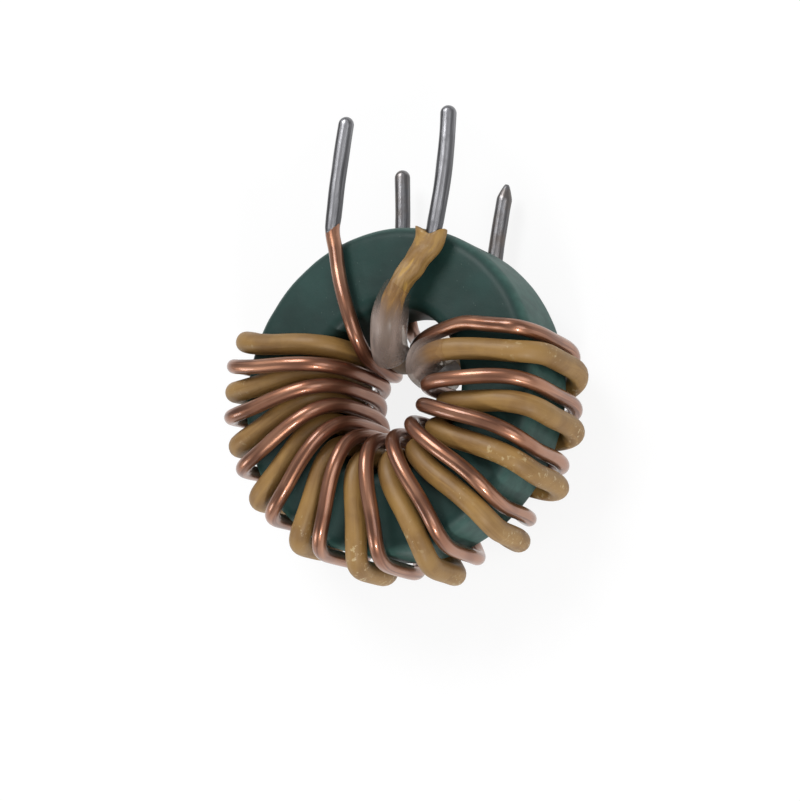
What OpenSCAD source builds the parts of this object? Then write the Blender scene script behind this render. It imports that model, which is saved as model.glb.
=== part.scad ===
// Toroidal inductor: a coated ring core with two wires wound on it side by
// side, one enamelled copper wire and one wire in a thick insulating jacket.
// It lies on the rear side of its winding. The ring's axis is +Z, and the four
// tinned leads point along +Y, two over the front face and two over the rear.
// Millimetres and degrees. Routes are given from the middle of the ring.

/* [Core] */
// Outside diameter of the coated ring
core_od = 20; // [19.85:0.05:20.05]
// Diameter of the hole through the ring
core_id = 10; // [10:0.1:11]
// Height of the ring along its axis
core_h = 5; // [3.5:0.25:5]
// Radius of the rounded edges of the ring
core_edge = 0.8; // [0.8:0.1:1.8]

/* [Wires] */
// Diameter of the enamelled copper wire
copper_d = 0.9; // [0.4:0.05:0.9]
// Outside diameter of the insulated wire
jacket_d = 1.3; // [1.1:0.05:1.3]
// Diameter of the conductor inside the insulation
conductor_d = 0.9; // [0.4:0.05:0.9]
// Outside diameter of the clear sleeves over the insulated wire
sleeve_d = 2.2; // [1.8:0.05:2.2]
// Diameter of the bore of the clear sleeves
sleeve_bore = 1.6; // [1.4:0.05:1.7]

/* [Winding] */
// Number of turns of each wire
turns = 11; // [9:1:11]
// Highest point of the copper turns over the middle of the ring
copper_arch = 4.45; // [4.45:0.05:5]
// Highest point of the insulated turns over the middle of the ring
jacket_arch = 3.35; // [3.34:0.01:3.36]
// Distance of the copper turns from the axis, inside the hole
copper_hole_r = 3; // [2.95:0.05:3.1]
// Distance of the insulated turns from the axis, inside the hole
jacket_hole_r = 4.15; // [4.05:0.05:4.15]

/* [Leads] */
// Diameter of the tinned lead ends
tin_d = 1; // [0.98:0.01:1.2]
// How far the left front lead reaches from the axis of the ring
left_front_reach = 16.7; // [14:0.1:20]
// How far the right front lead reaches from the axis of the ring
right_front_reach = 17; // [14:0.1:20]
// How far the left rear lead reaches from the axis of the ring
left_rear_reach = 15; // [14:0.1:20]
// How far the right rear lead reaches from the axis of the ring
right_rear_reach = 13.9; // [13:0.1:20]

/* [Hidden] */

core_r = core_od / 2;
hole_r = core_id / 2;
copper_r = copper_d / 2;
jacket_r = jacket_d / 2;
conductor_r = conductor_d / 2;
tin_r = tin_d / 2;
// Length that a pointed tip is drawn out to, and the radius it ends in
point_long = 0.9;
point_r = 0.12;
// Slack between the winding and the outer wall of the ring
copper_slack = 0.11;
jacket_slack = 0.15;
// How far the arch of a copper turn comes down on its way out to the outer wall
copper_drop = 1;
// How far the turns of each wire stand off the outer wall where they are
// loosest, how many degrees the insulated turns lean towards the copper turns
// there, and how far along the winding that is
jacket_loose = 0.7;
copper_loose = 0.15;
jacket_lean = 2.5;
loosest = 0.7;

// A turn, seen along the ring, is a rounded box. Its outer and inner halves
// meet above and below this radius, and each has a squareness of its own.
crest_r = 6.8;
outer_squareness = 4.4;
inner_squareness = 3.3;

// Seen along the axis, a turn crosses a face in a straight line. Here are the
// angle from the first turn to the last, the angle that the first crossing
// points to, and how far the first and the last crossing miss the ring's axis.
winding_arc = 199;
copper_first = 181.2;
copper_miss = [1.7, 0.5];
jacket_first = 178.2;
jacket_miss = [2.85, 1.3];
// The turns lie closer at the ends of the winding than in its middle, and the
// middle insulated turns lag behind
crowding = 4.6;
copper_lag = 0;
jacket_lag = 2;

// Rings of points along a turn, steps between two points of a lead's route,
// and sides of every round wire
rings_per_turn = 14;
route_steps = 2;
sides = 8;
ring_step = 1 / rings_per_turn;

// Each winding follows its formula from the rear side before its first turn
// to the outer wall of its last. The outer wall is climbed at whole numbers.
copper_from = -4.5 * ring_step;
jacket_from = -3.5 * ring_step;
last_climb = turns - 1 + ring_step / 2;

// The tinned length of each lead, from where it starts to its tip
left_front = [[-4.2, 9.6, 3.2], [-3.9, left_front_reach, 3.2]];
right_front = [[3, 9.5, 3.3], [3.2, right_front_reach, 3.3]];
left_rear = [[-3, 10.4, -3.2], [-3.5, left_rear_reach, -3.2]];
right_rear = [[3.4, 8.9, -3.7], [3.8, right_rear_reach, -3.7]];

// Routes between the tinned lengths and the turns
copper_start = [[-3.8, 8.4, 3.2], [-3.4, 7, 3.3], [-2.8, 5.6, 3.5], [-2.2, 4.1, 3.4],
                [-1.9, 2.9, 2.8], [-1.9, 2.1, 1.6], [-1.9, 1.8, 0], [-1.9, 1.6, -1.6],
                [-2.5, 1.8, -3.1]];
copper_end = [[9.2, 3.4, 3.4], [8.1, 3.5, 3.5], [6.9, 3.6, 3.5], [5.6, 3.7, 3.4], [4.1, 3.4, 3],
              [2.8, 3.2, 2.3], [1.8, 3, 1.5], [1, 2.9, 0.6], [0.4, 3, -0.5],
              [-0.2, 3.3, -1.7], [-1, 3.9, -2.8], [-1.8, 4.7, -3.3], [-2.2, 6.2, -3.3],
              [-2.7, 8.2, -3.2]];
jacket_start = [[2.8, 8.4, 3.3], [2.1, 7.5, 3.4], [1.5, 6.4, 3.7], [1.1, 5.3, 3.9], [0.8, 4.2, 3.8],
                [0.4, 3.2, 3.1], [-0.2, 2.5, 1.8], [-0.5, 2.2, 0.6], [-0.7, 2.1, -0.8],
                [-1.1, 2.5, -2.3], [-2.2, 3.1, -3.5], [-3.7, 3.6, -3.7]];
jacket_end = [[10, 2, 3], [8.8, 2, 3.4], [7.2, 2.1, 3.5], [5.7, 2.1, 3.7], [4.5, 2, 3.8],
              [3.6, 1.8, 3.5], [2.8, 1.6, 2.7], [2.2, 1.4, 1.5], [2, 1.3, 0.1],
              [2, 1.5, -1.4], [2.1, 2.2, -2.9], [2.6, 3.7, -3.8], [3, 5.4, -3.8],
              [3.3, 7.2, -3.7]];

// Turns of a wire. t counts turns, and the wire climbs the outer wall at each
// whole number and drops into the hole half a turn later.
function squared(x, n) = sign(x) * pow(abs(x), 2 / n);

function coil(t, first, miss, lag, outer_r, inner_r, arch, drop, loose, lean) =
    let (c = cos(360 * t),
         done = t / (turns - 1),
         n = c > 0 ? outer_squareness : inner_squareness,
         looseness = pow(max(0, cos(360 * (done - loosest))), 2),
         reach = c > 0 ? outer_r + loose * looseness - crest_r : crest_r - inner_r,
         out = squared(c, n),
         outside = max(0, out),
         rho = crest_r + reach * out,
         missed = miss[0] + (miss[1] - miss[0]) * done,
         late = crowding * sin(360 * done) + lag * sin(180 * done),
         angle = first + winding_arc * done - late - asin(missed / rho) + lean * looseness * outside)
    [rho * cos(angle), rho * sin(angle), (arch - drop * done * outside) * squared(sin(360 * t), n)];

function copper_coil(t) =
    coil(t, copper_first, copper_miss, copper_lag,
         core_r + copper_r + copper_slack, copper_hole_r, copper_arch, copper_drop, copper_loose, 0);

function jacket_coil(t) =
    coil(t, jacket_first, jacket_miss, jacket_lag,
         core_r + jacket_r + jacket_slack, jacket_hole_r, jacket_arch, 0, jacket_loose, jacket_lean);

// Smooth route through points: a curve between b and c, shaped by a and d
function curve(a, b, c, d, u) =
    (2 * b + (c - a) * u + (2 * a - 5 * b + 4 * c - d) * u * u
     + (3 * b - 3 * c + d - a) * u * u * u) / 2;

function route(before, points, after) =
    let (last = len(points) - 2)
    [for (i = [0 : last])
        for (j = [0 : route_steps - 1])
            curve(i == 0 ? before : points[i - 1], points[i], points[i + 1],
                  i == last ? after : points[i + 2], j / route_steps)];

// A point a little way along a lead, so that a route leaves it straight
function along(lead) = lead[0] + (lead[1] - lead[0]) / 4;

function part(path, from, to) = [for (i = [from : to]) path[i]];

copper_in = route(along(left_front), concat([left_front[0]], copper_start, [copper_coil(copper_from)]),
                  copper_coil(copper_from + ring_step));
copper_out = route(copper_coil(last_climb - ring_step),
                   concat([copper_coil(last_climb)], copper_end, [left_rear[0]]), along(left_rear));
jacket_in = route(along(right_front), concat([right_front[0]], jacket_start, [jacket_coil(jacket_from)]),
                  jacket_coil(jacket_from + ring_step));
jacket_out = route(jacket_coil(last_climb - ring_step),
                   concat([jacket_coil(last_climb)], jacket_end, [right_rear[0]]), along(right_rear));

// Where the wire inside a tinned length ends, short of the tip
function wire_end(lead, tip_long) = lead[1] - tip_long * unit(lead[1] - lead[0]);

copper_path = concat([wire_end(left_front, tin_r)], copper_in,
                     [for (t = [copper_from : ring_step : last_climb - ring_step / 2]) copper_coil(t)],
                     copper_out, [left_rear[0], wire_end(left_rear, tin_r)]);
jacket_path = concat(jacket_in,
                     [for (t = [jacket_from : ring_step : last_climb - ring_step / 2]) jacket_coil(t)],
                     jacket_out, [right_rear[0]]);
conductor_path = concat([wire_end(right_front, tin_r)], jacket_path,
                        [wire_end(right_rear, point_long)]);

// Stretches of the insulated wire that the clear sleeves cover
lead_sleeve_path = part(jacket_in, 7, 15);
turn_sleeve_path = part(jacket_out, 9, 20);

// Rings of points round a path. Each ring's first direction is carried over
// from the ring before it, so that the tube doesn't twist.
function unit(v) = v / norm(v);

function heading(path, i) = unit(path[min(i + 1, len(path) - 1)] - path[max(i - 1, 0)]);

function level(side, dir) = unit(side - (side * dir) * dir);

function carried(path) =
    let (last = len(path) - 1)
    [for (i = 0, side = level([0, 0, 1], heading(path, 0));
          i <= last;
          i = i + 1, side = level(side, heading(path, min(i, last)))) side];

function rings(path, r) =
    let (up = carried(path))
    [for (i = [0 : len(path) - 1])
        let (across = cross(heading(path, i), up[i]))
        for (j = [0 : sides - 1])
            path[i] + r * (cos(360 * j / sides) * up[i] + sin(360 * j / sides) * across)];

// Triangles of a tube wall, and of the disc or rim that closes its end, whose
// point numbers start at base. Turned triangles face the other way.
function turned(faces) = [for (f = faces) [f[2], f[1], f[0]]];

function wall(count, base) =
    [for (i = [0 : count - 2])
        for (j = [0 : sides - 1])
            let (a = base + i * sides + j,
                 b = base + i * sides + (j + 1) % sides)
            each [[a, a + sides, b + sides], [a, b + sides, b]]];

function disc(base) = [for (j = [1 : sides - 2]) [base, base + j, base + j + 1]];

function rim(outer, bore) =
    [for (j = [0 : sides - 1])
        let (k = (j + 1) % sides)
        each [[outer + j, outer + k, bore + k], [outer + j, bore + k, bore + j]]];

module wire(path, r) {
    n = len(path);
    polyhedron(points = rings(path, r),
               faces = concat(wall(n, 0), disc(0), turned(disc((n - 1) * sides))));
}

module hose(path, outer_r, bore_r) {
    n = len(path);
    bore = n * sides;
    polyhedron(points = concat(rings(path, outer_r), rings(path, bore_r)),
               faces = concat(wall(n, 0), turned(wall(n, bore)), rim(0, bore),
                              turned(rim((n - 1) * sides, bore + (n - 1) * sides))));
}

// The part rests on the rear arches of the copper turns, and its outline is
// centred on the origin
outline = concat(rings(jacket_path, jacket_r), rings(copper_path, copper_r),
                 [left_front[1], right_front[1], left_rear[1], right_rear[1]]);
x_all = [for (p = outline) p[0]];
y_all = [for (p = outline) p[1]];
z_all = [for (p = outline) p[2]];
ring_middle = [-(min(x_all) + max(x_all)) / 2, -(min(y_all) + max(y_all)) / 2, -min(z_all)];

// Coated ring, with every edge rounded
module core() {
    color([0.17, 0.27, 0.25])
    translate(ring_middle)
    rotate_extrude($fn = 96) {
        translate([hole_r, core_edge - core_h / 2])
            square([core_r - hole_r, core_h - 2 * core_edge]);
        translate([hole_r + core_edge, -core_h / 2])
            square([core_r - hole_r - 2 * core_edge, core_h]);
        for (x = [hole_r + core_edge, core_r - core_edge], y = [core_edge - core_h / 2, core_h / 2 - core_edge])
            translate([x, y])
                circle(core_edge, $fn = 32);
    }
}

// One wire from the tip of the left front lead to the tip of the left rear lead
module copper_winding() {
    color([0.72, 0.45, 0.33])
    translate(ring_middle)
    wire(copper_path, copper_r);
}

module inner_conductor() {
    color([0.75, 0.5, 0.38])
    translate(ring_middle)
    wire(conductor_path, conductor_r);
}

module insulation() {
    color([0.72, 0.58, 0.33])
    translate(ring_middle)
    hose(jacket_path, jacket_r, conductor_r);
}

module lead_sleeve() {
    color([0.8, 0.78, 0.75, 0.6])
    translate(ring_middle)
    hose(lead_sleeve_path, sleeve_d / 2, sleeve_bore / 2);
}

module turn_sleeve() {
    color([0.8, 0.78, 0.75, 0.6])
    translate(ring_middle)
    hose(turn_sleeve_path, sleeve_d / 2, sleeve_bore / 2);
}

// Coat of solder over the bare end of a wire. The tip is round or drawn out
// to a point.
module tinned_end(lead, wire_r, pointed = false) {
    span = lead[1] - lead[0];
    tip_long = pointed ? point_long : tin_r;
    wire_long = norm(span) - tip_long;
    color([0.75, 0.76, 0.78])
    translate(ring_middle + lead[0])
    rotate([0, acos(span[2] / norm(span)), atan2(span[1], span[0])])
    difference() {
        union() {
            cylinder(h = wire_long, r = tin_r, $fn = 48);
            translate([0, 0, wire_long])
                if (pointed)
                    cylinder(h = point_long, r1 = tin_r, r2 = point_r, $fn = 48);
                else
                    sphere(tin_r, $fn = 48);
        }
        translate([0, 0, -1])
            cylinder(h = wire_long + 1, r = wire_r, $fn = 48);
    }
}

module left_front_tinned_end() { tinned_end(left_front, copper_r); }

module right_front_tinned_end() { tinned_end(right_front, conductor_r); }

module left_rear_tinned_end() { tinned_end(left_rear, copper_r); }

module right_rear_tinned_end() { tinned_end(right_rear, conductor_r, pointed = true); }

core();
copper_winding();
inner_conductor();
insulation();
lead_sleeve();
turn_sleeve();
left_front_tinned_end();
right_front_tinned_end();
left_rear_tinned_end();
right_rear_tinned_end();
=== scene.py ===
"""Toroidal inductor: the looks of its core, wires, sleeves and tinned ends, and the stage under it."""

import math

import bpy
from bpy.props import FloatProperty, FloatVectorProperty, IntProperty, PointerProperty
from mathutils import Euler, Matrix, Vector, noise


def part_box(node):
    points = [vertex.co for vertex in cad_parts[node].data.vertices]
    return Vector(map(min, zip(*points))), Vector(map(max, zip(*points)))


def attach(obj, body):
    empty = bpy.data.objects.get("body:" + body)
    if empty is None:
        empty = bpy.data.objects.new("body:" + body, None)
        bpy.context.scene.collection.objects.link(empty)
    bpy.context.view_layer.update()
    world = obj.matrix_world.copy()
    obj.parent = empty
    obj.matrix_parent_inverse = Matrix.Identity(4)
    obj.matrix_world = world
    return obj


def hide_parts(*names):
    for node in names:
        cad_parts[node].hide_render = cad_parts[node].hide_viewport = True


bl_info = {
    "name": "Toroidal Inductor",
    "version": (1, 0, 0),
    "blender": (4, 5, 0),
    "location": "3D View > Sidebar > Inductor",
    "description": "Builds a toroidal inductor with two wires wound side by side, and its stage",
    "category": "Object",
}

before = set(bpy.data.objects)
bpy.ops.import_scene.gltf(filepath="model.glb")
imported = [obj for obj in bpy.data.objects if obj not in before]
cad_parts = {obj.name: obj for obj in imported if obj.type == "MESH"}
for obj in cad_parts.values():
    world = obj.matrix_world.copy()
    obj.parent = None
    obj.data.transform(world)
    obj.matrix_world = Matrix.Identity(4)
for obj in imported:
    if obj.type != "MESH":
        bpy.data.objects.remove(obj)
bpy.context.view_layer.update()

MM = 0.001
CORE_LOW, CORE_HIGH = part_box("core")
RING_MIDDLE = (CORE_LOW + CORE_HIGH) / 2

# All of these are millimetres and degrees, from the middle of the ring.
# A turn, seen along the ring, is a rounded box. Its outer and inner halves meet at CREST_R.
CREST_R = 6.8
OUTER_SQUARENESS = 4.4
INNER_SQUARENESS = 3.3
# Angle from the first turn to the last, how much closer the turns lie at the ends of the winding,
# and how far along it they stand off the outer wall the most
WINDING_ARC = 199
CROWDING = 4.6
LOOSEST = 0.7
# Slack between each winding and the outer wall
COPPER_SLACK = 0.11
JACKET_SLACK = 0.15
# Places along a turn where the lead routes may join it, and points of a line between two of them
RINGS_PER_TURN = 14
RING_STEP = 1 / RINGS_PER_TURN
ROUTE_STEPS = 8
# Points of a tinned length, and which of them shapes the curve that comes from it
LEAD_STEPS = 24
LEAD_SHAPING_POINT = 6
# Middle of the ring's section
SECTION_MIDDLE_R = 7.5
# Points of the insulated wire's first and last route that the sleeves cover
LEAD_SLEEVE_PART = slice(28, 61)
TURN_SLEEVE_PART = slice(36, 81)
# Distance between two rings of a wire's mesh
WIRE_SPACING = 0.22
# Length that the pointed lead's tip is drawn out to, and the radius it ends in
POINT_LENGTH = 0.9
POINT_R = 0.12

# The camera: its focal length, its place from the middle of the ring in millimetres, and its turn
FOCAL_LENGTH = 119.18
SENSOR_WIDTH = 36
CAMERA_PLACE = (80.386, -25.415, 136.016)
CAMERA_TURN = (12.077, 29.669, 6.069)

# Tinned lengths of the leads: root, tip, and how far the middle bows to the side
LEADS = {
    "left_front": ((-4.2, 9.6, 3.2), (-3.9, 16.7, 3.2), (-0.06, 0, 0)),
    "right_front": ((3, 9.5, 3.3), (3.2, 17, 3.3), (0.2, 0, 0)),
    "left_rear": ((-3, 10.4, -3.2), (-3.5, 15, -3.2), (0.04, 0, 0)),
    "right_rear": ((3.4, 8.9, -3.7), (3.8, 13.9, -3.7), (-0.05, 0, 0)),
}

# Routes between the tinned lengths and the turns
COPPER_START = (
    (-3.8, 8.4, 3.2), (-3.4, 7, 3.3), (-2.8, 5.6, 3.5), (-2.2, 4.1, 3.4), (-1.9, 2.9, 2.8),
    (-1.9, 2.1, 1.6), (-1.9, 1.8, 0), (-1.9, 1.6, -1.6), (-2.5, 1.8, -3.1),
)
COPPER_END = (
    (9.2, 3.4, 3.4), (8.1, 3.5, 3.5), (6.9, 3.6, 3.5), (5.6, 3.7, 3.4), (4.1, 3.4, 3),
    (2.8, 3.2, 2.3), (1.8, 3, 1.5), (1, 2.9, 0.6), (0.4, 3, -0.5), (-0.2, 3.3, -1.7),
    (-1, 3.9, -2.8), (-1.8, 4.7, -3.3), (-2.2, 6.2, -3.3), (-2.7, 8.2, -3.2),
)
JACKET_START = (
    (2.8, 8.4, 3.3), (2.1, 7.5, 3.4), (1.5, 6.4, 3.7), (1.1, 5.3, 3.9), (0.8, 4.2, 3.8),
    (0.4, 3.2, 3.1), (-0.2, 2.5, 1.8), (-0.5, 2.2, 0.6), (-0.7, 2.1, -0.8), (-1.1, 2.5, -2.3),
    (-2.2, 3.1, -3.5), (-3.7, 3.6, -3.7),
)
JACKET_END = (
    (10, 2, 3), (8.8, 2, 3.4), (7.2, 2.1, 3.5), (5.7, 2.1, 3.7), (4.5, 2, 3.8), (3.6, 1.8, 3.5),
    (2.8, 1.6, 2.7), (2.2, 1.4, 1.5), (2, 1.3, 0.1), (2, 1.5, -1.4), (2.1, 2.2, -2.9),
    (2.6, 3.7, -3.8), (3, 5.4, -3.8), (3.3, 7.2, -3.7),
)


class SizeSettings(bpy.types.PropertyGroup):
    """Sizes of the part, in metres"""

    core_edge: FloatProperty(
        name="Core edge", description="Radius of the rounded edges of the ring",
        default=0.8 * MM, min=0.2 * MM, max=2 * MM, precision=5, unit="LENGTH")
    core_hole_d: FloatProperty(
        name="Core hole", description="Diameter of the hole through the ring",
        default=10 * MM, min=5 * MM, max=15 * MM, precision=5, unit="LENGTH")
    copper_d: FloatProperty(
        name="Copper wire", description="Diameter of the enamelled copper wire",
        default=0.9 * MM, min=0.2 * MM, max=1.2 * MM, precision=5, unit="LENGTH")
    jacket_d: FloatProperty(
        name="Insulated wire", description="Outside diameter of the insulated wire",
        default=1.3 * MM, min=0.4 * MM, max=1.6 * MM, precision=5, unit="LENGTH")
    conductor_d: FloatProperty(
        name="Conductor", description="Diameter of the conductor inside the insulation",
        default=0.9 * MM, min=0.2 * MM, max=1.2 * MM, precision=5, unit="LENGTH")
    sleeve_d: FloatProperty(
        name="Sleeve", description="Outside diameter of the clear sleeves",
        default=2.2 * MM, min=1.6 * MM, max=2.6 * MM, precision=5, unit="LENGTH")
    sleeve_bore: FloatProperty(
        name="Sleeve bore", description="Diameter of the bore of the clear sleeves",
        default=1.6 * MM, min=1.3 * MM, max=2 * MM, precision=5, unit="LENGTH")
    tin_d: FloatProperty(
        name="Tinned end", description="Diameter of the tinned lead ends",
        default=1.0 * MM, min=0.5 * MM, max=1.4 * MM, precision=5, unit="LENGTH")
    turns: IntProperty(
        name="Turns", description="Number of turns of each wire", default=11, min=2, max=11)
    copper_arch: FloatProperty(
        name="Copper arch", description="Highest point of the copper turns over the middle of the ring",
        default=4.45 * MM, min=4 * MM, max=5 * MM, precision=5, unit="LENGTH")
    jacket_arch: FloatProperty(
        name="Insulated arch",
        description="Highest point of the insulated turns over the middle of the ring",
        default=3.35 * MM, min=3.2 * MM, max=4 * MM, precision=5, unit="LENGTH")


class ColourSettings(bpy.types.PropertyGroup):
    """Colours of the part"""

    coating: FloatVectorProperty(
        name="Core coating", description="Dark green epoxy on the core",
        default=(0.008, 0.033, 0.028), size=3, min=0, max=1, subtype="COLOR")
    enamel: FloatVectorProperty(
        name="Enamelled copper", description="Copper seen through its enamel",
        default=(0.385, 0.188, 0.112), size=3, min=0, max=1, subtype="COLOR")
    jacket: FloatVectorProperty(
        name="Insulation", description="Amber jacket of the insulated wire",
        default=(0.265, 0.149, 0.040), size=3, min=0, max=1, subtype="COLOR")
    bare_copper: FloatVectorProperty(
        name="Bare copper", description="Conductor at the cut ends of the jacket",
        default=(0.70, 0.38, 0.24), size=3, min=0, max=1, subtype="COLOR")
    sleeve: FloatVectorProperty(
        name="Sleeve", description="Milky clear tubing",
        default=(0.31, 0.245, 0.213), size=3, min=0, max=1, subtype="COLOR")
    tin: FloatVectorProperty(
        name="Tin", description="Solder on the lead ends",
        default=(0.27, 0.27, 0.283), size=3, min=0, max=1, subtype="COLOR")


# Lines that the wires follow


def squared(x, squareness):
    """A cosine or sine, pushed out towards the corners of a box."""
    return math.copysign(abs(x) ** (2 / squareness), x)


def coil_point(t, wire):
    """A point of a winding. t counts turns, and the wire climbs the outer wall at each whole number."""
    c = math.cos(math.tau * t)
    squareness = OUTER_SQUARENESS if c > 0 else INNER_SQUARENESS
    done = t / (wire["turns"] - 1)
    looseness = max(0, math.cos(math.tau * (done - LOOSEST))) ** 2
    outer_r = wire["outer_r"] + wire["loose"] * looseness
    reach = outer_r - CREST_R if c > 0 else CREST_R - wire["inner_r"]
    out = squared(c, squareness)
    rho = CREST_R + reach * out
    missed = wire["miss"][0] + (wire["miss"][1] - wire["miss"][0]) * done
    late = CROWDING * math.sin(math.tau * done) + wire["lag"] * math.sin(math.pi * done)
    lean = wire["lean"] * looseness * max(0, out)
    angle = math.radians(wire["first"] + WINDING_ARC * done - late + lean) - math.asin(missed / rho)
    z = (wire["arch"] - wire["drop"] * done * max(0, out)) * squared(math.sin(math.tau * t), squareness)
    return Vector((rho * math.cos(angle), rho * math.sin(angle), z))


def curve_point(a, b, c, d, u):
    """A point between b and c on a smooth curve that a and d shape."""
    return (2 * b + (c - a) * u + (2 * a - 5 * b + 4 * c - d) * u ** 2
            + (3 * b - 3 * c + d - a) * u ** 3) / 2


def route(before, points, after, steps=ROUTE_STEPS):
    """A smooth route through points, without its last point."""
    spots = [before, *points, after]
    return [curve_point(*spots[i:i + 4], j / steps)
            for i in range(len(points) - 1) for j in range(steps)]


def lead_line(name, start, end, count=LEAD_STEPS):
    """Points along a tinned length, from one share of it to another, with its bow."""
    root, tip, bow = (Vector(p) for p in LEADS[name])
    shares = [start + (end - start) * i / count for i in range(count + 1)]
    return [root + (tip - root) * s + bow * math.sin(math.pi * s) for s in shares]


def coil_points(wire, start, end):
    """Points of a winding, close enough together for a smooth line."""
    count = round((end - start) * RINGS_PER_TURN * ROUTE_STEPS)
    return [coil_point(start + (end - start) * i / count, wire) for i in range(count + 1)]


def vectors(points):
    return [Vector(p) for p in points]


def smoothed(points, passes):
    """The points, each drawn towards the middle of its neighbours. The ends stay."""
    for _ in range(passes):
        inner = [(a + 2 * b + c) / 4 for a, b, c in zip(points, points[1:], points[2:])]
        points = [points[0], *inner, points[-1]]
    return points


class Line:
    """A smooth line through space that knows its own length, with a direction across it at each point."""

    def __init__(self, points, step=0.2, passes=6):
        points = self.spaced(smoothed(self.spaced(points, step), passes), step)
        self.points, self.step = points, step
        self.length = step * (len(points) - 1)
        self.headings = [(points[min(i + 1, len(points) - 1)] - points[max(i - 1, 0)]).normalized()
                         for i in range(len(points))]
        side = Vector((0, 0, 1))
        self.sides = []
        for heading in self.headings:
            side = (side - side.dot(heading) * heading).normalized()
            self.sides.append(side)

    @staticmethod
    def spaced(points, step):
        """The line through points, cut into equal steps close to the one asked for."""
        travelled = [0.0]
        for a, b in zip(points, points[1:]):
            travelled.append(travelled[-1] + (b - a).length)
        count = max(2, round(travelled[-1] / step))
        made, j = [], 0
        for i in range(count + 1):
            want = travelled[-1] * i / count
            while j < len(points) - 2 and travelled[j + 1] < want:
                j += 1
            span = travelled[j + 1] - travelled[j]
            made.append(points[j].lerp(points[j + 1], (want - travelled[j]) / span if span else 0))
        return made

    def between(self, values, s):
        place = min(max(s / self.step, 0), len(values) - 1.001)
        i = int(place)
        return values[i].lerp(values[i + 1], place - i)

    def at(self, s):
        """The point at a distance along the line, carried straight on past its ends."""
        over = min(s, 0) + max(s - self.length, 0)
        return self.between(self.points, s) + over * self.between(self.headings, s)

    def beside(self, s, angle, r):
        """A point at a distance along the line, r away from it, at an angle round it."""
        heading = self.between(self.headings, s).normalized()
        up = self.between(self.sides, s).normalized()
        across = heading.cross(up)
        return self.at(s) + r * (math.cos(angle) * up + math.sin(angle) * across)


def copper_line(sizes):
    """The enamelled wire, from inside one tinned end to inside the other."""
    wire = {
        "turns": sizes.turns, "first": 181.2, "miss": (1.7, 0.5), "lag": 0,
        "outer_r": CORE_HIGH.x / MM - RING_MIDDLE.x / MM + sizes.copper_d / MM / 2 + COPPER_SLACK,
        "inner_r": 3, "arch": sizes.copper_arch / MM, "drop": 1, "loose": 0.15, "lean": 0,
    }
    begin, last = -4.5 * RING_STEP, sizes.turns - 1 + RING_STEP / 2
    front, rear = lead_line("left_front", 0, 0.9), lead_line("left_rear", 0, 0.85)
    start = route(front[LEAD_SHAPING_POINT], [front[0], *vectors(COPPER_START), coil_point(begin, wire)],
                  coil_point(begin + RING_STEP, wire))
    end = route(coil_point(last - RING_STEP, wire),
                [coil_point(last, wire), *vectors(COPPER_END), rear[0]], rear[LEAD_SHAPING_POINT])
    return [*reversed(front[1:]), *start, *coil_points(wire, begin, last)[:-1], *end, *rear]


def jacket_lines(sizes):
    """The insulated wire from one cut end of its jacket to the other, its conductor from one tinned
    end to the other, and the stretches under the two sleeves."""
    wire = {
        "turns": sizes.turns, "first": 178.2, "miss": (2.85, 1.3), "lag": 2,
        "outer_r": CORE_HIGH.x / MM - RING_MIDDLE.x / MM + sizes.jacket_d / MM / 2 + JACKET_SLACK,
        "inner_r": 4.15, "arch": sizes.jacket_arch / MM, "drop": 0, "loose": 0.7, "lean": 2.5,
    }
    begin, last = -3.5 * RING_STEP, sizes.turns - 1 + RING_STEP / 2
    front, rear = lead_line("right_front", 0, 0.9), lead_line("right_rear", 0, 0.8)
    start = route(front[LEAD_SHAPING_POINT], [front[0], *vectors(JACKET_START), coil_point(begin, wire)],
                  coil_point(begin + RING_STEP, wire))
    end = route(coil_point(last - RING_STEP, wire),
                [coil_point(last, wire), *vectors(JACKET_END), rear[0]], rear[LEAD_SHAPING_POINT])
    jacket = [*start, *coil_points(wire, begin, last)[:-1], *end, rear[0]]
    conductor = [*reversed(front[1:]), *jacket, *rear[1:]]
    return jacket, conductor, start[LEAD_SLEEVE_PART], end[TURN_SLEEVE_PART]


# Meshes


def ride_and_stand_for(piece, slot, *nodes):
    """The piece takes the place of these CAD nodes, which are hidden, and rides on the root body. The slot
    is not used.
    """
    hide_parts(*nodes)
    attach(piece, "root")


def new_piece(name, vertices, faces, material, corner_uvs=None):
    """A smooth-shaded object. Its vertices are millimetres from the middle of the ring."""
    mesh = bpy.data.meshes.new(name)
    mesh.from_pydata([RING_MIDDLE + v * MM for v in vertices], [], faces)
    if corner_uvs:
        layer = mesh.uv_layers.new(name="Along")
        layer.data.foreach_set("uv", [x for uv in corner_uvs for x in uv])
    mesh.polygons.foreach_set("use_smooth", [True] * len(mesh.polygons))
    mesh.materials.append(material)
    mesh.update()
    piece = bpy.data.objects.new(name, mesh)
    bpy.context.scene.collection.objects.link(piece)
    return piece


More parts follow.
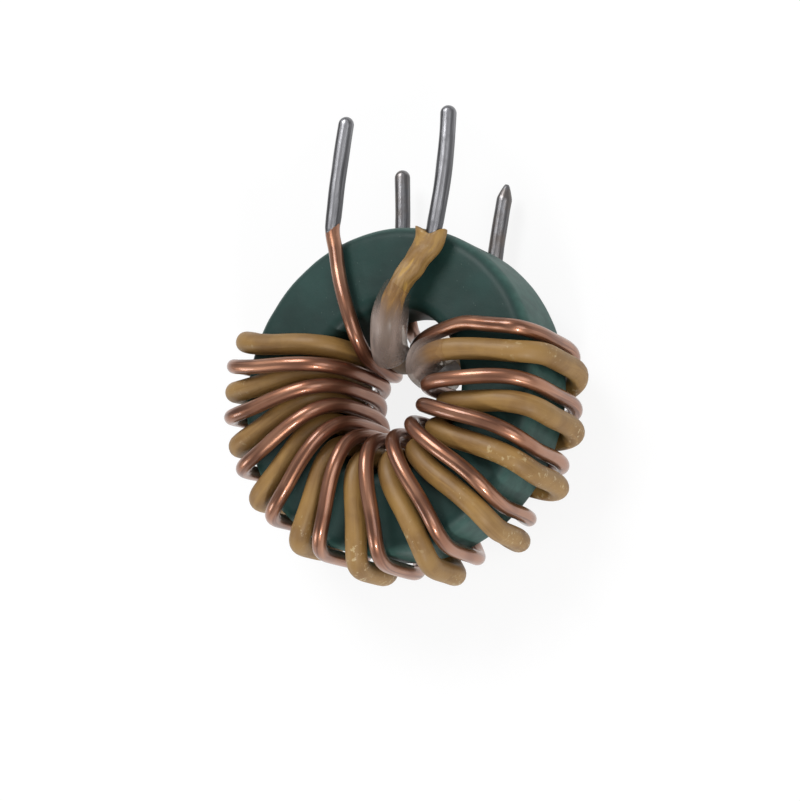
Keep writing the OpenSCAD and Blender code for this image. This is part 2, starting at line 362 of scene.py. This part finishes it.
def swept(name, line, stations, sides, material, closed=False, shape=None):
    """A tube along a line. Each station is a distance along the line and a radius. The first and
    last stations are points, unless the tube is closed: then the last ring joins the first. shape
    may move and resize a station by its distance, radius and angle."""
    vertices, faces, uvs = [], [], []
    middle = stations if closed else stations[1:-1]
    for s, r in middle:
        for j in range(sides):
            angle = math.tau * j / sides
            moved_s, moved_r = shape(s, r, angle) if shape else (s, r)
            vertices.append(line.beside(moved_s, angle, moved_r))
    count = len(middle)
    pairs = [(i, (i + 1) % count) for i in range(count if closed else count - 1)]
    for i, k in pairs:
        for j in range(sides):
            n = (j + 1) % sides
            faces.append((i * sides + j, k * sides + j, k * sides + n, i * sides + n))
            s_i, s_k = middle[i][0], middle[k][0]
            uvs += [(s_i, j / sides), (s_k, j / sides), (s_k, (j + 1) / sides), (s_i, (j + 1) / sides)]
    if not closed:
        for end, ring, flip in ((stations[0], 0, True), (stations[-1], count - 1, False)):
            vertices.append(line.at(end[0]))
            pole = len(vertices) - 1
            for j in range(sides):
                n = (j + 1) % sides
                corners = [pole, ring * sides + n, ring * sides + j] if flip else \
                    [pole, ring * sides + j, ring * sides + n]
                faces.append([corners[0], corners[2], corners[1]])
                uvs += [(end[0], (j + 0.5) / sides), (middle[ring][0], j / sides),
                        (middle[ring][0], (j + 1) / sides)]
    return new_piece(name, vertices, faces, material, uvs)


def wire_stations(line, r, spacing, start=0.0, end=None):
    """Stations of a plain round wire, with flat ends that have a small round edge."""
    end = line.length if end is None else end
    edge = 0.2 * r
    steps = max(2, round((end - start - 2 * edge) / spacing))
    inner = [start + edge + (end - start - 2 * edge) * i / steps for i in range(steps + 1)]
    return [(start, 0), (start, r - edge), (start + 0.3 * edge, r - 0.3 * edge),
            *[(s, r) for s in inner],
            (end - 0.3 * edge, r - 0.3 * edge), (end, r - edge), (end, 0)]


def hose_stations(start, end, outer_r, bore_r, spacing):
    """Stations of a hose: along its outside, round its rim, back along its bore and round again."""
    edge = 0.25 * (outer_r - bore_r)
    steps = max(2, round((end - start) / spacing))
    along = [start + edge + (end - start - 2 * edge) * i / steps for i in range(steps + 1)]
    return [*[(s, outer_r) for s in along], (end, outer_r - edge), (end, bore_r + edge),
            *[(s, bore_r) for s in reversed(along)], (start, bore_r + edge), (start, outer_r - edge)]


# Shader nodes


class Socket:
    """An output of a shader node, which sums can be written with."""

    def __init__(self, finish, output):
        self.finish, self.output = finish, output

    def __add__(self, other):
        return self.finish.math("ADD", self, other)

    def __sub__(self, other):
        return self.finish.math("SUBTRACT", self, other)

    def __rsub__(self, other):
        return self.finish.math("SUBTRACT", other, self)

    def __mul__(self, other):
        return self.finish.math("MULTIPLY", self, other)

    __radd__ = __add__
    __rmul__ = __mul__


class Finish:
    """A material, world or light tree, and the nodes that make it."""

    def __init__(self, name, owner=None):
        self.owner = owner or bpy.data.materials.new(name)
        self.owner.use_nodes = True
        self.tree = self.owner.node_tree
        self.tree.nodes.clear()

    def node(self, kind, settings=None, inputs=None, output=0):
        """Adds a node of this kind, makes its settings, then fills its sockets with values or links."""
        made = self.tree.nodes.new(kind)
        for name, value in (settings or {}).items():
            setattr(made, name, value)
        for name, value in (inputs or {}).items():
            socket = made.inputs[name]
            if isinstance(value, Socket):
                self.tree.links.new(value.output, socket)
            elif hasattr(value, "__len__") and socket.type == "RGBA" and len(value) == 3:
                socket.default_value = (*value, 1)
            else:
                socket.default_value = value
        return Socket(self, made.outputs[output])

    def math(self, operation, a, b=0.0):
        return self.node("ShaderNodeMath", {"operation": operation}, {0: a, 1: b})

    def mix(self, factor, a, b):
        """Mixes two colours."""
        return self.node("ShaderNodeMix", {"data_type": "RGBA"}, {0: factor, 6: a, 7: b}, output=2)

    def shares(self, value, low, high, start=0.0, end=1.0):
        """A value from low to high becomes one from start to end, smoothly, and stays within them."""
        return self.node("ShaderNodeMapRange", {"interpolation_type": "SMOOTHSTEP"},
                         {"Value": value, "From Min": low, "From Max": high,
                          "To Min": start, "To Max": end})

    def millimetres(self):
        """Object coordinates in millimetres."""
        spot = self.node("ShaderNodeTexCoord", output=3)
        return self.node("ShaderNodeVectorMath", {"operation": "SCALE"}, {0: spot, "Scale": 1 / MM})

    def from_axis(self):
        """Distance from the ring's axis in millimetres."""
        spot = self.node("ShaderNodeTexCoord", output=3)
        flat = self.node("ShaderNodeVectorMath", {"operation": "MULTIPLY_ADD"}, {
            0: spot, 1: (1 / MM, 1 / MM, 0), 2: (-RING_MIDDLE.x / MM, -RING_MIDDLE.y / MM, 0)})
        return self.node("ShaderNodeVectorMath", {"operation": "LENGTH"}, {0: flat}, output=1)

    def along(self, stretch):
        """Coordinates along and round a wire in millimetres. A stretch draws a pattern out along it."""
        spot = self.node("ShaderNodeUVMap", {"uv_map": "Along"})
        s = self.node("ShaderNodeSeparateXYZ", None, {0: spot})
        angle = self.node("ShaderNodeSeparateXYZ", None, {0: spot}, output=1) * math.tau
        return self.node("ShaderNodeCombineXYZ", None, {
            0: s * (1 / stretch), 1: self.math("COSINE", angle), 2: self.math("SINE", angle)})

    def noise(self, spot, scale, detail=2.0, roughness=0.5, distortion=0.0):
        return self.node("ShaderNodeTexNoise", None,
                         {"Vector": spot, "Scale": scale, "Detail": detail,
                          "Roughness": roughness, "Distortion": distortion})

    def bump(self, height, distance, strength=1.0, normal=None):
        """A bump of this height in millimetres."""
        inputs = {"Height": height, "Distance": distance * MM, "Strength": strength}
        if normal:
            inputs["Normal"] = normal
        return self.node("ShaderNodeBump", None, inputs)

    def surface(self, shader):
        self.node_output("ShaderNodeOutputMaterial", "Surface", shader)
        return self.owner

    def node_output(self, kind, socket, shader):
        made = self.tree.nodes.new(kind)
        self.tree.links.new(shader.output, made.inputs[socket])


def coating_finish(colours):
    """Dark green epoxy: even on the faces, with the outer wall painted paler in patches as a painted
    highlight, and dust in it.
    """
    f = Finish("dark_green_epoxy")
    spot = f.millimetres()
    clouds = f.noise(spot, 0.35, 3, 0.55)
    peel = f.noise(spot, 1.6, 2, 0.5)
    grain = f.noise(spot, 9, 3, 0.6)
    wall_sheen_patches = f.noise(spot, 0.9, 3, 0.6)
    base = colours.coating
    colour = f.mix(f.shares(clouds, 0.3, 0.7), [x * 0.85 for x in base], [x * 1.2 for x in base])
    # Painted highlight: the outer wall is made paler in patches, where light falls on it.
    wall = f.shares(f.from_axis(), 9.5, 9.9)
    patch_shift = wall * f.shares(wall_sheen_patches, 0.35, 0.65, 0.3, 0.55)
    colour = f.mix(patch_shift, colour, (0.06, 0.15, 0.125))
    specks = f.node("ShaderNodeTexVoronoi", {"feature": "F1"}, {"Vector": spot, "Scale": 2.2})
    dust = f.shares(specks, 0.03, 0.07, 1, 0)
    colour = f.mix(dust * 0.35, colour, (0.20, 0.27, 0.24))
    normal = f.bump(peel, 0.03, 0.5, f.bump(grain, 0.012, 0.4))
    return f.surface(f.node("ShaderNodeBsdfPrincipled", None, {
        "Base Color": colour, "Roughness": 0.5 + 0.12 * clouds + 0.15 * dust,
        "Coat Weight": 0.05, "Coat Roughness": 0.3, "IOR": 1.38, "Normal": normal}))


def enamel_finish(colours):
    """Copper under clear enamel, drawn in fine streaks along the wire, browner in places, with painted
    shade towards the hole.
    Its dark lines along the wire and a dark band before the outer edge are painted dark reflections."""
    f = Finish("enamelled_copper")
    streaks = f.noise(f.along(9), 1.6, 3, 0.6)
    lines = f.noise(f.along(16), 1.4, 2, 0.5)
    fine = f.noise(f.along(14), 5, 2, 0.6)
    patches = f.noise(f.millimetres(), 0.4, 2, 0.5)
    base = colours.enamel
    brown = [base[0] * 0.55, base[1] * 0.45, base[2] * 0.42]
    pink = [min(base[0] * 1.4, 1), base[1] * 1.5, base[2] * 1.6]
    colour = f.mix(f.shares(patches, 0.38, 0.68, 0, 0.7), base, brown)
    away = f.from_axis()
    # Painted shade: the wire is made darker brown towards the hole.
    colour = f.mix(f.shares(away, 4.5, 8, 0.55, 0), colour, brown)
    colour = f.mix(f.shares(streaks, 0.5, 0.75, 0, 0.6), colour, pink)
    # Painted dark reflections: dark lines along the wire, and a dark band before it bends over the outer
    # edge.
    painted_dark_band = f.shares(away, 7.4, 8.4) * f.shares(away, 9.7, 9.1) * f.shares(lines, 0.44, 0.6, 1, 0.2)
    dark = f.math("MAXIMUM", f.shares(lines, 0.36, 0.46, 0.65, 0), 0.8 * painted_dark_band)
    colour = f.mix(dark, colour, [x * 0.6 for x in brown])
    normal = f.bump(fine, 0.012, 0.4, f.bump(lines, 0.10, 0.4))
    return f.surface(f.node("ShaderNodeBsdfPrincipled", None, {
        "Base Color": colour, "Metallic": 0.88, "Roughness": 0.3 + 0.16 * streaks,
        "Coat Weight": 0.55, "Coat Roughness": 0.06, "Normal": normal}))


def jacket_finish(colours):
    """Amber insulation: satin, softly mottled, with faint ridges along it, and painted shade that darkens
    it towards the hole. It is creased near its front end, with painted highlights on the creases and
    painted shade in their folds, and small painted glints lie where the turns bend over the outer edge."""
    f = Finish("amber_insulation")
    spot = f.millimetres()
    mottle = f.noise(spot, 0.45, 3, 0.5)
    ridges = f.noise(f.along(9), 2.2, 3, 0.55)
    dents_and_glint_spots = f.noise(spot, 3.2, 3, 0.6)
    glint_patches = f.noise(spot, 0.25, 2, 0.5)
    creases = f.noise(f.along(2.2), 1.5, 2, 0.5, 0.5)
    s = f.node("ShaderNodeSeparateXYZ", None, {0: f.along(1)})
    front = f.shares(s, 5, 7, 1, 0) * f.shares(s, 0.5, 2, 0.4, 1)
    base = colours.jacket
    dark = [base[0] * 0.7, base[1] * 0.64, base[2] * 0.6]
    pale = [base[0] * 1.25, base[1] * 1.3, base[2] * 1.5]
    bright = [base[0] * 1.75, base[1] * 1.8, base[2] * 1.3]
    away = f.from_axis()
    colour = f.mix(f.shares(mottle, 0.3, 0.62), dark, base)
    # Painted shade: the insulation is made darker towards the hole.
    colour = f.mix(f.shares(away, 4.5, 7.5, 0.4, 0), colour, dark)
    colour = f.mix(f.shares(ridges, 0.48, 0.72, 0, 0.45), colour, pale)
    # Painted highlights on the creases near the front end, and painted shade in their folds.
    colour = f.mix(front * f.shares(creases, 0.52, 0.66, 0, 0.65), colour, bright)
    colour = f.mix(front * f.shares(creases, 0.36, 0.47, 0.55, 0), colour, dark)
    # Painted glints: small bright specks where the turns bend over the outer edge. The same noise also
    # bumps small dents.
    painted_glints = f.shares(dents_and_glint_spots, 0.57, 0.68) * f.shares(glint_patches, 0.42, 0.56) * f.shares(away, 8.4, 9.6)
    colour = f.mix(painted_glints * 0.42, colour, (0.62, 0.52, 0.30))
    normal = f.bump(ridges, 0.05, 0.5, f.bump(dents_and_glint_spots, 0.05, 0.45, f.bump(front * creases, 0.3, 0.5)))
    return f.surface(f.node("ShaderNodeBsdfPrincipled", None, {
        "Base Color": colour, "Roughness": 0.6 - 0.12 * mottle - 0.14 * painted_glints,
        "Coat Weight": 0.02, "Coat Roughness": 0.2, "Normal": normal}))


def bare_copper_finish(colours):
    f = Finish("bare_copper")
    streaks = f.noise(f.along(8), 5, 3, 0.6)
    base = colours.bare_copper
    colour = f.mix(f.shares(streaks, 0.35, 0.7), [x * 0.6 for x in base], base)
    return f.surface(f.node("ShaderNodeBsdfPrincipled", None, {
        "Base Color": colour, "Metallic": 1.0, "Roughness": 0.28 + 0.15 * streaks,
        "Normal": f.bump(streaks, 0.015, 0.4)}))


def sleeve_finish(colours):
    """Milky clear tubing: what it covers shows through near its start, and less further on."""
    f = Finish("milky_clear_sleeve")
    haze = f.noise(f.millimetres(), 0.6, 3, 0.55)
    streaks = f.noise(f.along(4), 1.1, 3, 0.5)
    base = colours.sleeve
    colour = f.mix(f.shares(streaks, 0.35, 0.7), [x * 0.75 for x in base],
                   [min(x * 1.35, 1) for x in base])
    edge = f.node("ShaderNodeLayerWeight", None, {"Blend": 0.4}, output=1)
    far_on = f.shares(f.node("ShaderNodeSeparateXYZ", None, {0: f.along(1)}), 0.6, 2.6, 0.12, 1)
    cloudy = f.shares(streaks, 0.42, 0.75, 0, 0.16) + f.shares(haze, 0.4, 0.7, 0, 0.1)
    cover = far_on * (0.36 + 0.34 * edge + cloudy)
    clear = f.node("ShaderNodeBsdfTransparent", None, {"Color": (0.95, 0.92, 0.88)})
    milky = f.node("ShaderNodeBsdfPrincipled", None, {
        "Base Color": colour, "Roughness": 0.36 + 0.2 * streaks,
        "Coat Weight": 0.18, "Coat Roughness": 0.2,
        "Normal": f.bump(streaks, 0.08, 0.4)})
    return f.surface(f.node("ShaderNodeMixShader", None, {0: cover, 1: clear, 2: milky}))


def tin_finish(colours, dull):
    """Solder: bright where it ran smooth, duller in patches. Dark lines, and paler fine streaks that are
    painted highlights, are drawn along its shaft and stop at its tip."""
    f = Finish("dull_solder" if dull else "solder")
    patches = f.noise(f.millimetres(), 0.8, 3, 0.6)
    facing = f.node("ShaderNodeSeparateXYZ", None, {0: f.node("ShaderNodeTexCoord", output=1)}, output=1)
    shaft = f.shares(facing, 0.2, 0.55, 1, 0)
    lines = shaft * (f.noise(f.along(30), 1.3, 3, 0.6) - 0.5) + 0.5
    fine = shaft * (f.noise(f.along(9), 3, 3, 0.55) - 0.5) + 0.5
    base = colours.tin
    colour = f.mix(f.shares(lines, 0.4, 0.58), [x * 0.38 for x in base],
                   [min(x * 1.2, 1) for x in base])
    # Painted highlights: paler fine streaks along the shaft.
    colour = f.mix(f.shares(fine, 0.5, 0.75, 0, 0.5), colour, [min(x * 1.6, 1) for x in base])
    # The colour of the duller, worn patches.
    patch_shift = (base[0] * 0.6, base[1] * 0.5, base[2] * 0.42) if dull else [x * 0.5 for x in base]
    colour = f.mix(f.shares(patches, 0.36 if dull else 0.5, 0.66, 0, 0.8 if dull else 0.5), colour, patch_shift)
    normal = f.bump(lines, 0.12, 0.5)
    return f.surface(f.node("ShaderNodeBsdfPrincipled", None, {
        "Base Color": colour, "Metallic": 0.95, "Roughness": 0.26 + 0.2 * patches, "Normal": normal}))


# Operators


class INDUCTOR_OT_core(bpy.types.Operator):
    """Build the coated ring core"""

    bl_idname = "inductor.core"
    bl_label = "Core"

    AROUND = 288
    CORNER_STEPS = 10
    FACE_STEPS = 10

    def profile(self, outer_r, hole_r, half_h, edge):
        """Corners of the ring's section, counterclockwise, as radius and height."""
        corners = ((outer_r - edge, half_h - edge, 0), (hole_r + edge, half_h - edge, 90),
                   (hole_r + edge, edge - half_h, 180), (outer_r - edge, edge - half_h, 270))
        spots = []
        for r, z, first in corners:
            for i in range(self.CORNER_STEPS + 1):
                a = math.radians(first + 90 * i / self.CORNER_STEPS)
                spots.append((r + edge * math.cos(a), z + edge * math.sin(a)))
        made = []
        for (r0, z0), (r1, z1) in zip(spots, spots[1:] + spots[:1]):
            steps = self.FACE_STEPS if math.hypot(r1 - r0, z1 - z0) > edge else 1
            made += [(r0 + (r1 - r0) * i / steps, z0 + (z1 - z0) * i / steps) for i in range(steps)]
        return made

    def execute(self, context):
        sizes = context.scene.inductor_sizes
        outer_r = (CORE_HIGH.x - CORE_LOW.x) / MM / 2
        half_h = (CORE_HIGH.z - CORE_LOW.z) / MM / 2
        profile = self.profile(outer_r, sizes.core_hole_d / MM / 2, half_h, sizes.core_edge / MM)
        vertices, faces = [], []
        for i in range(self.AROUND):
            a = math.tau * i / self.AROUND
            for r, z in profile:
                spot = Vector((r * math.cos(a), r * math.sin(a), z))
                sag = 0.03 * (noise.noise(spot * 0.45) - 0.6) + 0.012 * (noise.noise(spot * 1.3) - 0.6)
                from_middle = r - SECTION_MIDDLE_R
                outward = Vector((math.cos(a) * from_middle, math.sin(a) * from_middle, z))
                vertices.append(spot + outward.normalized() * sag)
        count = len(profile)
        for i in range(self.AROUND):
            k = (i + 1) % self.AROUND
            for j in range(count):
                n = (j + 1) % count
                faces.append((i * count + j, k * count + j, k * count + n, i * count + n))
        ring = new_piece("coated_ring", vertices, faces, coating_finish(context.scene.inductor_colours))
        ride_and_stand_for(ring, "core_coating", "core")
        return {"FINISHED"}


class INDUCTOR_OT_copper_wire(bpy.types.Operator):
    """Wind the enamelled copper wire"""

    bl_idname = "inductor.copper_wire"
    bl_label = "Copper Wire"

    def execute(self, context):
        sizes = context.scene.inductor_sizes
        line = Line(copper_line(sizes))
        wire = swept("enamelled_wire", line, wire_stations(line, sizes.copper_d / MM / 2, WIRE_SPACING), 20,
                     enamel_finish(context.scene.inductor_colours))
        ride_and_stand_for(wire, "enamelled_copper", "copper_winding")
        return {"FINISHED"}


class INDUCTOR_OT_insulated_wire(bpy.types.Operator):
    """Wind the insulated wire, with the conductor inside its jacket"""

    bl_idname = "inductor.insulated_wire"
    bl_label = "Insulated Wire"

    def execute(self, context):
        sizes = context.scene.inductor_sizes
        colours = context.scene.inductor_colours
        jacket_path, conductor_path, _, _ = jacket_lines(sizes)
        jacket, conductor = Line(jacket_path), Line(conductor_path)
        outer_r, bore_r = sizes.jacket_d / MM / 2, sizes.conductor_d / MM / 2

        def cut(s, r, angle):
            """The jacket is uneven. Its front end is flattened, creased, and split into a wide wing and
            a narrow one at its cut."""
            near = max(0, 1 - s / 3.4)
            side = math.sin(angle)
            wing = side * side
            thin = 1 - 0.2 * near * (1 - wing)
            wide = (0.62 if side > 0 else 0.22) * near ** 1.3 * wing
            notch = 0.45 * max(0, 1 - s / 1.5) * (1 - wing)
            uneven = 0
            if r > bore_r:
                around = Vector((0, math.cos(angle), side))
                crease = 0.2 * max(0, min(s / 1.5, 1, (7 - s) / 3))
                uneven = 0.02 * noise.noise(around + Vector((s * 0.5, 0, 0)))
                uneven += crease * noise.noise(2 * around + Vector((s * 0.9, 0, 0)))
            return s + notch, r * thin + wide + uneven

        stations = hose_stations(0, jacket.length, outer_r, bore_r, WIRE_SPACING)
        cover = swept("wire_jacket", jacket, stations, 22, jacket_finish(colours), closed=True, shape=cut)
        ride_and_stand_for(cover, "insulation", "insulation")
        core_wire = swept("wire_conductor", conductor,
                          wire_stations(conductor, bore_r - 0.005, WIRE_SPACING), 18,
                          bare_copper_finish(colours))
        ride_and_stand_for(core_wire, "bare_copper", "inner_conductor")
        return {"FINISHED"}


class INDUCTOR_OT_sleeves(bpy.types.Operator):
    """Slide the two clear sleeves over the insulated wire"""

    bl_idname = "inductor.sleeves"
    bl_label = "Sleeves"

    def execute(self, context):
        sizes = context.scene.inductor_sizes
        material = sleeve_finish(context.scene.inductor_colours)
        _, _, lead_path, turn_path = jacket_lines(sizes)
        for name, node, path, seed in (("front_lead_sleeve", "lead_sleeve", lead_path, 3.0),
                                       ("last_turn_sleeve", "turn_sleeve", turn_path, 8.0)):
            line = Line(path, step=0.15)

            def soft(s, r, angle):
                """Ends cut a little out of square, a start drawn in towards the wire, and a wall that
                isn't quite even."""
                at_end = max(0, 1 - s / 1.2) - max(0, 1 - (line.length - s) / 1.2)
                drawn_in = 0.24 * max(0, 1 - s / 2) ** 1.5
                lump = 0.06 * noise.noise(Vector((s * 0.6 + seed, math.cos(angle), math.sin(angle))))
                return s + 0.2 * at_end * math.sin(angle + seed), r * (1 - drawn_in) + lump

            stations = hose_stations(0, line.length, sizes.sleeve_d / MM / 2,
                                     sizes.sleeve_bore / MM / 2, 0.18)
            sleeve = swept(name, line, stations, 32, material, closed=True, shape=soft)
            ride_and_stand_for(sleeve, "sleeve", node)
        return {"FINISHED"}


class INDUCTOR_OT_tinned_ends(bpy.types.Operator):
    """Coat the four lead ends with solder"""

    bl_idname = "inductor.tinned_ends"
    bl_label = "Tinned Ends"

    def execute(self, context):
        sizes = context.scene.inductor_sizes
        bright = tin_finish(context.scene.inductor_colours, False)
        dull = tin_finish(context.scene.inductor_colours, True)
        r = sizes.tin_d / MM / 2
        for number, name in enumerate(LEADS):
            line = Line(lead_line(name, -0.06 if name.startswith("right") else 0, 1), step=0.1, passes=2)
            point = POINT_LENGTH if name == "right_rear" else r
            tip_r = POINT_R if name == "right_rear" else 0

            def outline(s):
                """Thin where the solder starts, and a round or pointed tip."""
                left = line.length - s
                if left >= point:
                    return r - 0.04 * max(0, 1 - s / 0.8)
                if tip_r:
                    return tip_r + (r - tip_r) * (left / point) ** 0.8
                return r * math.sqrt(max(0, 1 - (1 - left / point) ** 2))

            def uneven(s, r_here, angle):
                around = Vector((math.cos(angle), math.sin(angle), 0))
                lump = noise.noise(around * 0.7 + Vector((number * 5, 0, s * 0.55)))
                ragged = 0.5 * max(0, 1 - s / 1.2) * noise.noise(around * 1.5 + Vector((0, 0, number)))
                return s + ragged, r_here * (1 + 0.06 * (lump - 0.4))

            steps = round(line.length / 0.12)
            plain = [(line.length * i / steps, 0) for i in range(steps)]
            ends = [(line.length - point * (1 - math.sin(math.pi / 2 * i / 8)), 0) for i in range(1, 8)]
            spots = sorted({round(s, 4) for s, _ in plain + ends if s > 0.01})
            stations = [(0, 0), (0, r - 0.08), *[(s, outline(s)) for s in spots],
                        (line.length - 0.001, outline(line.length - 0.001)), (line.length, 0)]
            end = swept(f"{name}_tin", line, stations, 24, dull if name.endswith("rear") else bright,
                        shape=uneven)
            ride_and_stand_for(end, "tin", f"{name}_tinned_end")
        return {"FINISHED"}


class INDUCTOR_OT_stage(bpy.types.Operator):
    """Add the floor, the lamps, the world and the camera"""

    bl_idname = "inductor.stage"
    bl_label = "Stage"

    # Name, place in metres from the middle of the part, size in metres and power in watts
    LAMPS = (
        ("key", (-0.10, 0.25, 0.35), 0.22, 1.3),
        ("fill", (0.35, -0.05, 0.30), 0.30, 0.6),
        ("side", (-0.30, -0.25, 0.20), 0.16, 0.45),
        ("spark", (0.17, -0.34, 0.22), 0.07, 0.8),
    )

    def execute(self, context):
        scene = context.scene
        scene.view_settings.view_transform = "Standard"
        self.floor(scene)
        self.world(scene)
        for name, place, size, power in self.LAMPS:
            lamp = bpy.data.lights.new(name, "AREA")
            lamp.shape, lamp.size, lamp.energy = "DISK", size, power
            holder = bpy.data.objects.new(name, lamp)
            holder.location = place
            holder.rotation_euler = (-Vector(place)).to_track_quat("-Z", "Y").to_euler()
            scene.collection.objects.link(holder)
        camera = bpy.data.cameras.new("camera")
        camera.lens, camera.sensor_width = FOCAL_LENGTH, SENSOR_WIDTH
        camera.clip_start, camera.clip_end = 0.01, 10
        holder = bpy.data.objects.new("camera", camera)
        holder.location = RING_MIDDLE + Vector(CAMERA_PLACE) * MM
        holder.rotation_euler = Euler([math.radians(a) for a in CAMERA_TURN])
        scene.collection.objects.link(holder)
        scene.camera = holder
        return {"FINISHED"}

    def floor(self, scene):
        f = Finish("pale_floor")
        paths = {"camera": 0, "glossy": 3, "transmission": 6}
        seen = [f.node("ShaderNodeLightPath", output=n) for n in paths.values()]
        direct = f.math("MAXIMUM", seen[0], f.math("MAXIMUM", seen[1], seen[2]))
        matt = f.node("ShaderNodeBsdfDiffuse", None, {"Color": (0.86, 0.86, 0.86)})
        white = f.node("ShaderNodeEmission", None, {"Color": (1, 1, 1), "Strength": 1.0})
        material = f.surface(f.node("ShaderNodeMixShader", None, {0: direct * 0.86, 1: matt, 2: white}))
        mesh = bpy.data.meshes.new("floor")
        mesh.from_pydata([(-3, -3, 0), (3, -3, 0), (3, 3, 0), (-3, 3, 0)], [], [(0, 1, 2, 3)])
        mesh.materials.append(material)
        floor = bpy.data.objects.new("floor", mesh)
        scene.collection.objects.link(floor)

    def world(self, scene):
        scene.world = bpy.data.worlds.new("studio")
        f = Finish("studio", scene.world)
        camera_ray = f.node("ShaderNodeLightPath", output=0)
        colour = f.mix(camera_ray, (0.36, 0.36, 0.37), (1, 1, 1))
        f.node_output("ShaderNodeOutputWorld", "Surface",
                      f.node("ShaderNodeBackground", None, {"Color": colour, "Strength": 1.0}))


class INDUCTOR_PT_panel(bpy.types.Panel):
    """Lists the steps that build the part"""

    bl_idname = "INDUCTOR_PT_panel"
    bl_label = "Toroidal Inductor"
    bl_space_type = "VIEW_3D"
    bl_region_type = "UI"
    bl_category = "Inductor"

    def draw(self, context):
        for group in (context.scene.inductor_sizes, context.scene.inductor_colours):
            for name in group.__annotations__:
                self.layout.prop(group, name)
        for operator in STEPS:
            self.layout.operator(operator.bl_idname)


STEPS = (
    INDUCTOR_OT_core,
    INDUCTOR_OT_copper_wire,
    INDUCTOR_OT_insulated_wire,
    INDUCTOR_OT_sleeves,
    INDUCTOR_OT_tinned_ends,
    INDUCTOR_OT_stage,
)
CLASSES = (SizeSettings, ColourSettings, *STEPS, INDUCTOR_PT_panel)


def register():
    for cls in CLASSES:
        bpy.utils.register_class(cls)
    bpy.types.Scene.inductor_sizes = PointerProperty(type=SizeSettings)
    bpy.types.Scene.inductor_colours = PointerProperty(type=ColourSettings)


def unregister():
    del bpy.types.Scene.inductor_colours
    del bpy.types.Scene.inductor_sizes
    for cls in reversed(CLASSES):
        bpy.utils.unregister_class(cls)


def main():
    register()
    bpy.ops.inductor.core()
    bpy.ops.inductor.copper_wire()
    bpy.ops.inductor.insulated_wire()
    bpy.ops.inductor.sleeves()
    bpy.ops.inductor.tinned_ends()
    bpy.ops.inductor.stage()


if __name__ == "__main__":
    main()
